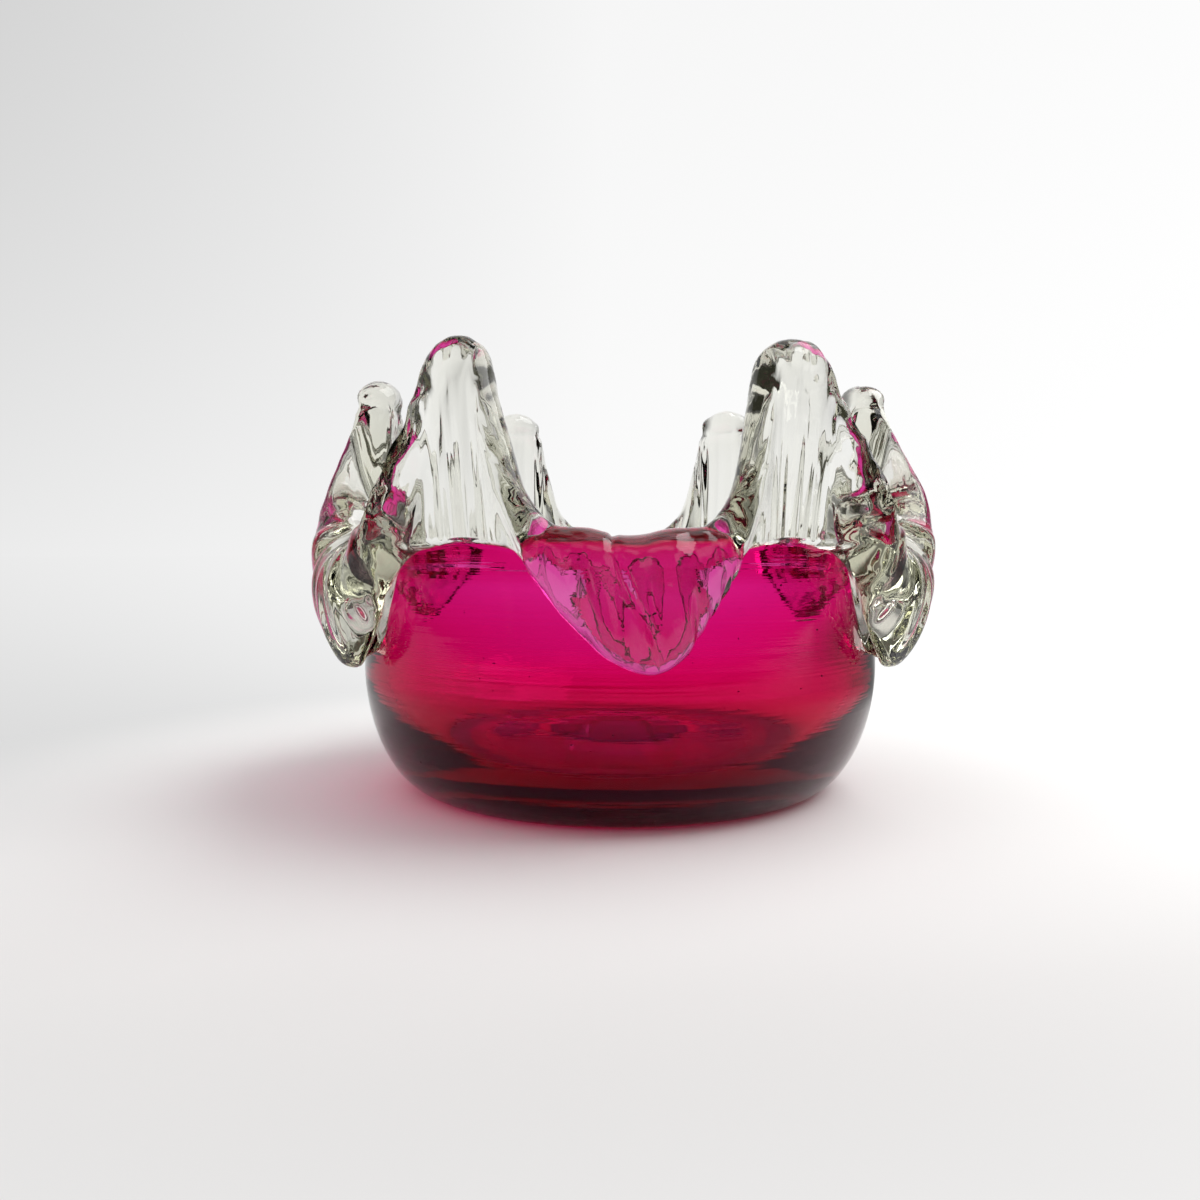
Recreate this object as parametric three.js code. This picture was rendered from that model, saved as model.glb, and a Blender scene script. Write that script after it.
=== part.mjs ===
// Cranberry glass bowl with a crown of clear glass, free blown and finished by hand.
//
// The ruby cup has a thick floor, a hollow below it with a ground pontil mark, and a rounded rim.
// Six petals of clear glass were laid on hot round the rim. Each one is a thick ribbed shell, solid to the
// wall of the cup, that swells out at the rim and tapers to a tip below it. Its two upper corners were
// drawn up with pincers. A corner and the next petal's corner make one tall prong, ridged at its sides and
// hollow down its outer face.
//
// Millimetres, +Z up, the front towards -Y. The origin is the centre of the ring that the bowl rests on.

import * as THREE from 'three';

// Cup
const CUP_HEIGHT = 37; // table to the top of the rim
const RIM_RADIUS = 38.6; // outside
const BELLY_RADIUS = 39.6; // outside, where the cup is widest
const BELLY_HEIGHT = 18.7;
const FOOT_RADIUS = 29.9; // outer edge of the flat resting ring
const FOOT_RING_WIDTH = 8;
const HEEL_FULLNESS = 1.88; // power of the heel's curve: 2 is an ellipse, more is squarer
const CUP_WALL = 2.8;
const CUP_FLOOR = 4.6; // glass above the resting ring
const PUNT_HEIGHT = 3.4; // hollow under the floor
const PONTIL_RADIUS = 9.6; // ground flat at the top of that hollow
const FLOOR_RISE = 3.8; // how far the floor swells up inside, over the hollow
const FLOOR_RISE_RADIUS = 20;

// Crown
const CLEARANCE = 0.3; // between pieces that are fused together on the bowl itself
const PRONG_RISE = 25.4; // rim to the top of a prong
const PRONG_RADIUS = 38.8; // axis of the bowl to the middle of a prong's head
const PRONG_THICKNESS = 7.6; // of the head, measured along the radius
const WEB_THICKNESS = 4; // where a prong is hollow, between its ridges
const WEB_FOOT_ROUNDING = 0.8; // where the web stands on the rim
const FOLD_THICKNESS = 8; // where a ridge turns over into the rim of a dip
const RIDGE_HEIGHT = 3.4; // of the ridges, above the web between them
const LIP_RISE = 1; // rim to the top of the glass at the bottom of a dip
const PETAL_DROP = 16.6; // rim to the lowest glass of a petal
const PETAL_REACH = 9.9; // rim to the outermost glass of a petal
const PETAL_THICKNESS = 3.8;
const PETAL_EDGE_REACH = 4.6; // rim to the middle of the glass at the slanting edges of a petal
const BOW_SHIFT = 0.8; // how much of its bow a petal has gained at its top, and lost at its tip
const RIB_HEIGHT = 0.5;
const RIBS = 7; // on the outside of each petal

// Drawn up by hand, so each prong differs in width, height and how far its head leans in. Azimuths are in
// degrees from the front, positive towards +X.
const PRONGS = [
  { azimuth: -32, halfWidth: 5.1, taller: 0.4, leansIn: 0 },
  { azimuth: 33.2, halfWidth: 6.2, taller: 0.2, leansIn: 0.2 },
  { azimuth: 91, halfWidth: 5.8, taller: 0, leansIn: 0.2 },
  { azimuth: 147, halfWidth: 5.5, taller: 0.3, leansIn: 0 },
  { azimuth: 210, halfWidth: 5.6, taller: -0.2, leansIn: 0.3 },
  { azimuth: 269, halfWidth: 5.9, taller: 0.8, leansIn: 1 },
];

// Each petal hangs between the prong of the same row and the next one. Its tip leans sideways by some
// degrees and hangs lower by some millimetres, and it swells out by some more or less.
const PETALS = [
  { name: 'front_petal', lean: 3.4, lower: -1.1, swell: 0 },
  { name: 'right_front_petal', lean: -1, lower: 1, swell: 1.6 },
  { name: 'right_back_petal', lean: 1.5, lower: -0.5, swell: 0.4 },
  { name: 'back_petal', lean: -2, lower: 0, swell: 0.1 },
  { name: 'left_back_petal', lean: 1, lower: -0.8, swell: -0.3 },
  { name: 'left_front_petal', lean: 1.2, lower: 1.2, swell: 0.1 },
];

// Fineness of the surfaces
const CUP_SEGMENTS = 60;
const STEPS_PER_RIB = 4;
const STEPS_PER_RIDGE = 8; // from the outermost rib to the middle of the prong
const EDGE_ANGLES = [0, 30, 60, 90]; // degrees round the rounded edge of a petal
const STEPS_BETWEEN_EDGES = 4;
const POLISH_PASSES = 6;

const radians = THREE.MathUtils.degToRad;
const mix = THREE.MathUtils.lerp;
const smooth = (x, from, to) => THREE.MathUtils.smoothstep(x, from, to);

function steps(count, make) {
  return Array.from({ length: count }, (_, i) => make((i + 1) / count));
}

// Radius of the heel's curve, which leaves the floor flat and arrives at the belly upright.
function heelRadius(height, floor, footRadius, bellyRadius) {
  const below = Math.min(1, Math.max(0, (BELLY_HEIGHT - height) / (BELLY_HEIGHT - floor)));
  const turned = (1 - below ** HEEL_FULLNESS) ** (1 / HEEL_FULLNESS);
  return mix(footRadius, bellyRadius, turned);
}

function cupRadius(height) {
  if (height < BELLY_HEIGHT) return heelRadius(height, 0, FOOT_RADIUS, BELLY_RADIUS);
  const above = (height - BELLY_HEIGHT) / (CUP_HEIGHT - BELLY_HEIGHT);
  return BELLY_RADIUS - (BELLY_RADIUS - RIM_RADIUS) * Math.min(1, above) ** 2;
}

function cupGeometry() {
  const lip = CUP_WALL / 2;
  const lipHeight = CUP_HEIGHT - lip;
  const ringInside = FOOT_RADIUS - FOOT_RING_WIDTH;
  const innerFoot = FOOT_RADIUS - CUP_WALL;
  const innerBelly = BELLY_RADIUS - CUP_WALL;
  const points = [
    [0, PUNT_HEIGHT],
    [PONTIL_RADIUS, PUNT_HEIGHT],
    ...steps(4, (t) => [
      mix(PONTIL_RADIUS, ringInside, t),
      PUNT_HEIGHT * Math.cos((t * Math.PI) / 2) ** 2,
    ]),
    [FOOT_RADIUS, 0],
    ...steps(7, (t) => {
      const height = BELLY_HEIGHT * (1 - Math.cos((t * Math.PI) / 2));
      return [cupRadius(height), height];
    }),
    ...steps(3, (t) => {
      const height = mix(BELLY_HEIGHT, lipHeight, t);
      return [cupRadius(height), height];
    }),
    ...steps(4, (t) => [
      cupRadius(lipHeight) - lip + lip * Math.cos(t * Math.PI),
      lipHeight + lip * Math.sin(t * Math.PI),
    ]),
    ...steps(2, (t) => {
      const height = mix(lipHeight, BELLY_HEIGHT, t);
      return [cupRadius(height) - CUP_WALL, height];
    }),
    ...steps(5, (t) => {
      const height = mix(CUP_FLOOR, BELLY_HEIGHT, 1 - Math.sin((t * Math.PI) / 2));
      return [heelRadius(height, CUP_FLOOR, innerFoot, innerBelly), height];
    }),
    ...steps(4, (t) => [
      mix(FLOOR_RISE_RADIUS, 0, t),
      CUP_FLOOR + (FLOOR_RISE * (1 - Math.cos(t * Math.PI))) / 2,
    ]),
  ];
  return new THREE.LatheGeometry(
    points.map(([radius, height]) => new THREE.Vector2(radius, height)),
    CUP_SEGMENTS,
  ).rotateX(Math.PI / 2);
}

// The two long edges of half a petal, from the middle of its lobe to the middle of a prong. A point
// holds the azimuth in degrees from the lobe's middle, the radius, and the height of the edge's middle
// line. Both edges have as many points, and those of the same rank face each other across the petal.
function petalEdges(petal, prong, halfSpan) {
  const prongTop = PRONG_RISE + prong.taller;
  const wide = THREE.MathUtils.radToDeg(prong.halfWidth / PRONG_RADIUS);
  const head = PRONG_RADIUS - prong.leansIn;
  const seat = RIM_RADIUS + CLEARANCE;
  const half = PETAL_THICKNESS / 2;
  const drop = PETAL_DROP + petal.lower - half;
  const tip = cupRadius(CUP_HEIGHT - drop) + half + CLEARANCE;
  const web = RIM_RADIUS - CUP_WALL / 2;
  const upper = [
    [0, seat, LIP_RISE - half],
    [0.2 * halfSpan, seat, LIP_RISE - half + 0.5],
    [0.37 * halfSpan, seat + 0.3, LIP_RISE - half + 1.5],
    [0.484 * halfSpan, seat + 0.8, 0.11 * prongTop],
    [0.6 * halfSpan, head + 1.4, 0.38 * prongTop],
    [halfSpan - wide, head + 0.2, 0.76 * prongTop],
    [halfSpan - 0.72 * wide, head, 0.93 * prongTop],
    [halfSpan, head, prongTop],
  ];
  const lower = [
    [0, tip, -drop],
    [0.17 * halfSpan, tip + 0.5, -0.88 * drop],
    [0.33 * halfSpan, RIM_RADIUS + 0.96 * PETAL_EDGE_REACH, -0.61 * drop],
    [0.46 * halfSpan, RIM_RADIUS + PETAL_EDGE_REACH, -0.34 * drop],
    [0.6 * halfSpan, RIM_RADIUS + 0.45 * PETAL_EDGE_REACH, CLEARANCE],
    [0.72 * halfSpan, web + 1, CLEARANCE],
    [0.84 * halfSpan, web + 0.2, CLEARANCE],
    [halfSpan, web, CLEARANCE],
  ];
  const ranks = upper.length - 1;
  return { upper: smoothLine(upper, halfSpan), lower: smoothLine(lower, halfSpan), ranks };
}

// A smooth line through the rows, which returns its point at a rank. The rows are mirrored past both of
// its ends, so that it arrives level in the middle of the lobe and in the middle of the prong.
function smoothLine(rows, halfSpan) {
  const last = rows.length - 1;
  const before = [-rows[1][0], rows[1][1], rows[1][2]];
  const after = [2 * halfSpan - rows[last - 1][0], rows[last - 1][1], rows[last - 1][2]];
  const points = [before, ...rows, after].map(
    ([turn, radius, rise]) => new THREE.Vector3(turn, radius, CUP_HEIGHT + rise),
  );
  const curve = new THREE.CatmullRomCurve3(points, false, 'catmullrom');
  return (rank) => curve.getPoint((rank + 1) / (last + 2));
}

// Middle surface of half a petal. Rank counts along the edges, and across runs from -1 on the lower
// edge to 1 on the upper one. Between them the glass bows outwards, most above its middle: in a half
// round where the petal hangs lowest, and hardly at all up the prong.
function middleSurface(petal, edges, side) {
  const bow = RIM_RADIUS + PETAL_REACH + petal.swell - RIB_HEIGHT - PETAL_THICKNESS / 2;
  const start = (edges.upper(0).y + edges.lower(0).y) / 2;
  const fullest = (Math.sqrt(1 + 8 * BOW_SHIFT ** 2) - 1) / (4 * BOW_SHIFT);
  const most = Math.sqrt(1 - fullest ** 2) * (1 + BOW_SHIFT * fullest);
  return (rank, across) => {
    const low = edges.lower(rank);
    const high = edges.upper(rank);
    const fade = Math.cos((Math.min(1, rank / 4.6) * Math.PI) / 2) ** 2;
    const roundness = mix(0.5, 1, smooth(rank, 0.5, 3));
    const shape = (Math.max(0, 1 - across ** 2) ** roundness * (1 + BOW_SHIFT * across)) / most;
    const bulge = mix(0.6, bow - start, fade) * shape;
    const share = (across + 1) / 2;
    const lean = petal.lean * (1 - rank / edges.ranks) ** 2 * (1 - share);
    const turn = radians(side * mix(low.x, high.x, share) + lean);
    const radius = mix(low.y, high.y, share) + bulge;
    return new THREE.Vector3(
      radius * Math.sin(turn),
      -radius * Math.cos(turn),
      mix(low.z, high.z, share),
    );
  };
}

function thickness(rank, share) {
  const low = mix(PETAL_THICKNESS, WEB_THICKNESS, smooth(rank, 3, 5));
  const fold = mix(PETAL_THICKNESS, FOLD_THICKNESS, smooth(rank, 0, 4));
  const high = mix(fold, PRONG_THICKNESS, smooth(rank, 4, 6));
  return mix(low, high, share ** mix(1.6, 3.5, smooth(rank, 3.5, 7)));
}

// What stands proud of the outer face: the ribs of the lobe, and the ridge beside it.
function relief(rank, share, swell) {
  const ribsEnd = smooth(rank, (RIBS - 2) / 2, (RIBS + 1) / 2);
  const ribbed = (1 - ribsEnd) * Math.sin(Math.PI * share) ** 0.7;
  const rib = RIB_HEIGHT * ribbed * (0.5 + 0.5 * Math.cos(2 * Math.PI * rank));
  const ridge = (RIDGE_HEIGHT + swell) * smooth(rank, 1.6, 3.8) * (1 - smooth(rank, 4.3, 5.9));
  return rib + ridge * (1 - 0.4 * share);
}

// One section across the petal, as a closed loop of points: up its outer face and down its inner one.
function section(surface, edges, rank, side, swell) {
  const fine = 60;
  const line = steps(fine + 1, (t) => -Math.cos(Math.PI * (t - 1 / (fine + 1)) * ((fine + 1) / fine)));
  const places = line.map((across) => surface(rank, across));
  const lengths = [0];
  for (let i = 1; i <= fine; i++) lengths.push(lengths[i - 1] + places[i].distanceTo(places[i - 1]));
  const whole = lengths[fine];
  const at = (length) => {
    let i = 1;
    while (i < fine && lengths[i] < length) i++;
    return mix(line[i - 1], line[i], (length - lengths[i - 1]) / (lengths[i] - lengths[i - 1]));
  };

  // Up the sides of a prong the section runs almost along the edge, so its rounding is drawn out.
  const slant = 1 + 1.5 * Math.sin(Math.PI * THREE.MathUtils.clamp((rank - 2.5) / 4.5, 0, 1)) ** 2;
  const foot = mix(1, WEB_FOOT_ROUNDING / (WEB_THICKNESS / 2), smooth(rank, 3.5, 5));
  const lowReach = Math.min(0.4 * whole, (foot * thickness(rank, 0)) / 2);
  const highReach = Math.min(0.6 * whole, (slant * thickness(rank, 1)) / 2);
  const rounding = (angle) => 1 - Math.cos(radians(angle));
  const distances = [
    ...EDGE_ANGLES.map((angle) => lowReach * rounding(angle)),
    ...steps(STEPS_BETWEEN_EDGES, (t) => mix(lowReach, whole - highReach, t)).slice(0, -1),
    ...EDGE_ANGLES.map((angle) => whole - highReach * rounding(angle)).reverse(),
  ];

  const outer = [];
  const inner = [];
  for (const distance of distances) {
    const across = THREE.MathUtils.clamp(at(distance), -1, 1);
    const share = (across + 1) / 2;
    const nearLow = Math.min(1, distance / lowReach);
    const nearHigh = Math.min(1, (whole - distance) / highReach);
    const round = Math.sqrt(Math.max(0, 1 - (1 - nearLow) ** 2) * Math.max(0, 1 - (1 - nearHigh) ** 2));
    const half = (thickness(rank, share) / 2) * round;

    // The lobe's outer face is laid off square to its middle surface, and its inner face lies on the cup.
    // Both faces of the prong are laid off along the radius.
    const middle = surface(rank, across);
    const upwards = surface(rank, Math.min(across + 0.01, 1)).sub(surface(rank, Math.max(across - 0.01, -1)));
    const sideways = surface(rank + 0.02, across).sub(surface(rank - 0.02, across));
    const level = sideways.multiplyScalar(side).cross(upwards).normalize();
    const outwards = new THREE.Vector3(middle.x, middle.y, 0).normalize();
    const normal = level.lerp(outwards, smooth(rank, 2.5, 4.5)).normalize();
    outer.push(middle.clone().addScaledVector(normal, half + relief(rank, share, swell) * round));
    const wall = cupRadius(middle.z) + CLEARANCE;
    const seated = outwards.clone().multiplyScalar(wall).setZ(middle.z);
    const inside = middle.clone().lerp(seated, nearLow);
    inner.push(inside.lerp(middle.clone().addScaledVector(normal, -half), smooth(rank, 2.5, 4)));
  }
  return { outer, inner };
}

// Fire polishing evens out the flanks between the ribbed lobe and the head of the prong. Each pass moves
// a point half way to the middle of its two neighbours along the petal.
function firePolish(sections, ranks) {
  for (let pass = 0; pass < POLISH_PASSES; pass++) {
    for (const face of ['outer', 'inner']) {
      const before = sections.map((section) => section[face].map((point) => point.clone()));
      for (let i = 1; i < sections.length - 1; i++) {
        const share = 0.5 * smooth(ranks[i], 1.6, 2.8) * (1 - smooth(ranks[i], 4.6, 6));
        sections[i][face].forEach((point, j) => {
          const between = before[i - 1][j].clone().lerp(before[i + 1][j], 0.5);
          point.lerp(between, share);
        });
      }
    }
  }
}

function petalGeometry(petal, left, right) {
  const span = (right.azimuth - left.azimuth + 360) % 360;
  const outermost = RIBS / 2;
  const halves = [
    { side: -1, prong: left },
    { side: 1, prong: right },
  ].map(({ side, prong }) => {
    const edges = petalEdges(petal, prong, span / 2);
    const surface = middleSurface(petal, edges, side);
    const ranks = [
      ...steps(outermost * STEPS_PER_RIB, (t) => outermost * t),
      ...steps(STEPS_PER_RIDGE, (t) => mix(outermost, edges.ranks, t)),
    ];
    const cut = radians((side * span) / 2);
    const tangent = new THREE.Vector3(Math.cos(cut), Math.sin(cut), 0);
    const sections = ranks.map((rank) => {
      const { outer, inner } = section(surface, edges, rank, side, petal.swell);
      const shift = rank === edges.ranks ? (-side * CLEARANCE) / 2 : 0;
      for (const point of [...outer, ...inner]) point.addScaledVector(tangent, shift);
      return { outer, inner };
    });
    firePolish(sections, ranks);
    return { sections, centre: section(surface, edges, 0, side, petal.swell) };
  });
  const sections = [...halves[0].sections.reverse(), halves[0].centre, ...halves[1].sections];

  // A section's first and last points lie on its edges, where the outer and inner face meet.
  const rows = sections[0].outer.length;
  const loop = 2 * rows - 2;
  const positions = [];
  for (const { outer, inner } of sections) {
    for (const point of [...outer, ...inner.slice(1, -1).reverse()]) positions.push(...point.toArray());
  }
  const faces = [];
  const quad = (a, b, c, d) => faces.push(a, b, c, a, c, d);
  for (let i = 0; i < sections.length - 1; i++) {
    for (let j = 0; j < loop; j++) {
      const next = (j + 1) % loop;
      quad(i * loop + j, (i + 1) * loop + j, (i + 1) * loop + next, i * loop + next);
    }
  }
  const last = (sections.length - 1) * loop;
  for (let j = 0; j < rows - 1; j++) {
    const back = (loop - j) % loop;
    const nextBack = loop - j - 1;
    if (j === 0) {
      faces.push(0, 1, nextBack);
      faces.push(last, last + nextBack, last + 1);
    } else if (j === rows - 2) {
      faces.push(j, j + 1, back);
      faces.push(last + j, last + back, last + j + 1);
    } else {
      quad(j, j + 1, nextBack, back);
      quad(last + j, last + back, last + nextBack, last + j + 1);
    }
  }
  const geometry = new THREE.BufferGeometry();
  geometry.setAttribute('position', new THREE.Float32BufferAttribute(positions, 3));
  geometry.setIndex(faces);
  geometry.computeVertexNormals();
  return geometry.rotateZ(radians(left.azimuth + span / 2));
}

const bowl = new THREE.Group();

const rubyGlass = { color: 0xb0054a, roughness: 0.05, metalness: 0 };
const cup = new THREE.Mesh(cupGeometry(), new THREE.MeshStandardMaterial(rubyGlass));
cup.name = 'ruby_cup';
bowl.add(cup);

const clearGlass = { color: 0xdde1da, roughness: 0.05, metalness: 0 };
PETALS.forEach((petal, i) => {
  const geometry = petalGeometry(petal, PRONGS[i], PRONGS[(i + 1) % PRONGS.length]);
  const mesh = new THREE.Mesh(geometry, new THREE.MeshStandardMaterial(clearGlass));
  mesh.name = petal.name;
  bowl.add(mesh);
});

export default bowl;
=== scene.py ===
import math

import bpy
import numpy as np
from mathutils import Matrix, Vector, noise


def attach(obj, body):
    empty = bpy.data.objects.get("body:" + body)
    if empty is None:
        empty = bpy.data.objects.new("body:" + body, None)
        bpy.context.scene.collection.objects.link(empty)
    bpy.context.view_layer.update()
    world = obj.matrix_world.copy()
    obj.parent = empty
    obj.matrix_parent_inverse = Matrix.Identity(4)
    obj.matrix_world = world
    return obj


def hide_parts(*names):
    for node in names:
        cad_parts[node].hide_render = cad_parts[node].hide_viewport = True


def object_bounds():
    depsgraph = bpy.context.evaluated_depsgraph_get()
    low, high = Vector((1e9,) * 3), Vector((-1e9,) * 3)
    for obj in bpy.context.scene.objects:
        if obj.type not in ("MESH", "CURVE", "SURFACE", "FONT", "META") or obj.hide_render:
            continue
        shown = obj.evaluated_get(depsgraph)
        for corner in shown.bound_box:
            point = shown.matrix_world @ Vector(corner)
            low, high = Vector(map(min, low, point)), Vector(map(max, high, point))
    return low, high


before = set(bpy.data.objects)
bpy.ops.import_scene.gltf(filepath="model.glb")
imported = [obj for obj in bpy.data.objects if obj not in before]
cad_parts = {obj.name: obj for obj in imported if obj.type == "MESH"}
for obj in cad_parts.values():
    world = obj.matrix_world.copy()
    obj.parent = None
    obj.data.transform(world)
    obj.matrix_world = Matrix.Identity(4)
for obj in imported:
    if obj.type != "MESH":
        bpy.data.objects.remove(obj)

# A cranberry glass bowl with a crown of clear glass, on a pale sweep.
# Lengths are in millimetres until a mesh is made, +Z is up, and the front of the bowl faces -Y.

MM = 0.001
CAD_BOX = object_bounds()

PETAL_NODES = [
    "front_petal",
    "right_front_petal",
    "right_back_petal",
    "back_petal",
    "left_back_petal",
    "left_front_petal",
]
FRONT = PETAL_NODES.index("front_petal")
RIGHT_FRONT = PETAL_NODES.index("right_front_petal")
LEFT_FRONT = PETAL_NODES.index("left_front_petal")

# Cup
CUP_HEIGHT = 37.0
RIM_RADIUS = 38.6
BELLY_RADIUS = 39.6
BELLY_HEIGHT = 18.7
FOOT_RADIUS = 29.9
FOOT_RING_WIDTH = 8.0
HEEL_FULLNESS = 1.88
LIP_THICKNESS = 2.8
UPPER_WALL = 2.2
LOWER_WALL = 3.9
WALL_THINS_BETWEEN = (5.0, 32.0)
LIP_SWELLS_BETWEEN = (31.5, 35.6)
CUP_FLOOR = 4.6
PUNT_HEIGHT = 3.4
PONTIL_RADIUS = 9.6
FLOOR_RISE = 3.8
FLOOR_RISE_RADIUS = 20.0
CUP_STEPS_ROUND = 288
CUP_WOBBLE = 0.12
CUP_WOBBLE_SEED = 3.0
RIM_LIFT = 1.0
RIM_LIFTED_BETWEEN = (30.0, 36.0)
RIM_LIFT_SPREAD = 9.0

# Seeds: specks of ash in the glass, so many to a square metre
SEEDS_PER_AREA = 3400.0
SEED_DEPTH = 0.9
SEED_RADIUS = 0.11
SEED_SCATTER = 5

# Crown: a rank counts the stations from the middle of a lobe, 0, to the head of its prong, LAST_RANK, and a
# share runs from 0 at the lower edge of the glass to 1 at the upper one.
LAST_RANK = 7
FUSED_DEPTH = 0.25
PRONG_RISE = 25.4
PRONG_RADIUS = 38.8
PRONG_THICKNESS = 7.6
WEB_THICKNESS = 4.0
WEB_FOOT_ROUNDING = 0.8
FOLD_THICKNESS = 8.0
RIDGE_HEIGHT = 4.4
LIP_RISE = 1.0
PETAL_DROP = 16.6
PETAL_REACH = 9.9
PETAL_THICKNESS = 3.8
PETAL_EDGE_STANDOFF = 0.5
PETAL_EDGE_REACH = 2.8
LEAST_BOW = 0.6
RIB_HEIGHT = 0.5
RIBS = 7
SLANT_FROM_RANK = 2.5
SLANT_ROUNDING = 1.5
EASED_DEPTH = 0.8

# How a lobe bows out: how square it is across, how far its fullest place is shifted up, and the rank where
# the bow ends. One that swells less than SHALLOW_SWELL is flatter, and solid to the cup. Behind the others
# the glass is drawn away from the cup by HOLLOW_SHARE of its depth.
BOWED_FACE = (2.3, 0.5, 5.6)
FLAT_FACE = (4.0, 0.1, 4.6)
SHALLOW_SWELL = -1.0
HOLLOW_SHARE = 0.8

# One prong a row: its azimuth from the front in degrees, half its width, how much taller it is and how
# far its head leans in. Each petal lies between the prong of its own row and the next.
PRONGS = [
    (-32.0, 5.1, 0.3, 0.0),
    (33.2, 6.2, 0.1, 0.2),
    (91.0, 5.8, -0.4, 0.2),
    (147.0, 5.5, 0.3, 0.0),
    (210.0, 5.6, -0.2, 0.3),
    (269.0, 5.9, 0.5, 1.0),
]

# One petal a row: how far its tip leans in degrees and hangs lower, how far its lobe and its flanks swell
# out, and how thick its lower edge is.
PETALS = [
    (3.4, -1.1, -1.6, -3.0, 1.8),
    (-1.0, 1.0, 0.9, 1.3, 3.4),
    (1.5, -0.5, 0.4, -0.4, 3.6),
    (-2.0, 0.0, 0.1, 0.0, 3.4),
    (1.0, -0.8, -0.4, -1.3, 3.6),
    (1.2, 1.2, 0.3, -0.8, 3.8),
]

# Fineness of the crown
STEPS_PER_HALF_PETAL = 74
STEPS_ROUND_AN_EDGE = 8
STEPS_BETWEEN_EDGES = 40
FINE_STEPS_ACROSS = 240
POLISH_PASSES = 26

# Marks of the hand on the crown
UNEVENNESS = 0.16
UNEVEN_LENGTH = 9.0
LINE_DEPTH = 0.16
LINES_PER_RANK = 2.8
BITE_DEPTH = 0.1
FRONT_BITE_DEPTHS = (0.04, 0.22)
BITE_RANKS = 0.5
FOLD_DEPTH = 0.05
FRONT_FOLD_DEPTH = 0.26
VEIN_DEPTH = 0.4
VEIN_RANKS = (0.3, -0.45)
CREASE_DEPTH = 0.5
CREASE_HEIGHT = 58.4
SWELLING_DEPTH = 0.25
SWELLING_HEIGHT = 60.6
PINCER_TURN = 1.5
PINCER_HEIGHT = 57.0
PINCER_WIDTH = 3.2
PINCER_DENT = 0.25
CRUMPLE_DEPTH = 0.55
CRUMPLE_LENGTH = 1.1

# Glass: what it absorbs is a density per metre times what its tint lacks.
CLEAR_TINT = (0.5, 0.5, 0.24, 1.0)
CLEAR_DENSITY = 38.0
CLEAR_GLOSS_LEVEL = 0.38
RUBY_TINT = (0.936, 0.045, 0.68, 1.0)
RUBY_DENSITY = 1100.0
RUBY_GLOSS = (0.9, 0.12, 0.3, 1.0)
RUBY_GLOSS_LEVEL = 0.1
GLASS_IOR = 1.5

# Studio, with its lengths in metres
PAPER = (0.95, 0.935, 0.925)
SWEEP_RADIUS = 6.0
SWEEP_STEPS = 96
DAYLIGHT = 0.8
ROOM_LEVEL = 0.12
ROOM_FROM = 0.47
RIGHT_DARK = 0.75
LEFT_DARK = 0.3
WINDOW_PLACE = (0.62, 0.12, 0.78)
WINDOW_SIZE = (0.9, 0.9)
WINDOW_POWER = 7.5

# Camera, read off the photograph: a 1200 by 1200 frame, 970 pixels for the lens, horizon at row 550.
FRAME_SIZE = 1200
LENS_PIXELS = 970.0
HORIZON_ROW = 550.0
SENSOR = 36.0
CAMERA_PLACE = (-3.0, -155.0, 36.2)


def mix(a, b, t):
    return a + (b - a) * t


def smooth(x, start, end):
    t = np.clip((x - start) / (end - start), 0.0, 1.0)
    return t * t * (3.0 - 2.0 * t)


def bell(x, middle, width):
    return np.exp(-(((x - middle) / width) ** 2))


def speckle(places, seed):
    """Smooth noise from -1 to 1 at each place of an array, its own for each seed."""
    shift = Vector((17.3, 5.1, 29.7)) * seed
    values = [noise.noise(Vector(place) + shift) for place in places.reshape(-1, 3)]
    return np.array(values).reshape(places.shape[:-1])


# Node trees are written as plain expressions, with the two classes and the two functions below.
class Nodes:
    """A node tree, which one method fills."""

    def __init__(self, tree):
        self.tree = tree

    def add(self, kind, settings=None, values=None, output=0):
        """Adds a node, sets it and its sockets, and returns one of its outputs."""
        made = self.tree.nodes.new(kind)
        for name, setting in (settings or {}).items():
            setattr(made, name, setting)
        for key, value in (values or {}).items():
            if isinstance(value, Value):
                self.tree.links.new(value.socket, made.inputs[key])
            else:
                made.inputs[key].default_value = value
        return Value(self, made.outputs[output])


class Value:
    """What a socket gives, which can be added, multiplied and so on."""

    def __init__(self, nodes, socket):
        self.nodes = nodes
        self.socket = socket

    def of(self, name):
        """Another output of the same node."""
        return Value(self.nodes, self.socket.node.outputs[name])

    def math(self, operation, *others):
        return self.nodes.add("ShaderNodeMath", {"operation": operation}, dict(enumerate((self, *others))))

    def rise(self, start, end):
        """0 up to start, 1 from end on, and smooth between them."""
        settings = {"interpolation_type": "SMOOTHSTEP"}
        values = {"Value": self, "From Min": start, "From Max": end}
        return self.nodes.add("ShaderNodeMapRange", settings, values)

    def __add__(self, other):
        return self.math("ADD", other)

    def __sub__(self, other):
        return self.math("SUBTRACT", other)

    def __mul__(self, other):
        return self.math("MULTIPLY", other)

    def __truediv__(self, other):
        return self.math("DIVIDE", other)

    def __rsub__(self, other):
        return self * -1.0 + other

    __radd__ = __add__
    __rmul__ = __mul__


def material(name, build):
    """A material whose nodes are added by build."""
    made = bpy.data.materials.new(name)
    made.use_nodes = True
    fill(made.node_tree, "ShaderNodeOutputMaterial", build)
    return made


def fill(tree, end_kind, build):
    """Empties a tree, and links each output that build returns to the end node's input of that name."""
    tree.nodes.clear()
    nodes = Nodes(tree)
    end = tree.nodes.new(end_kind)
    for name, value in build(nodes).items():
        tree.links.new(value.socket, end.inputs[name])


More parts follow.
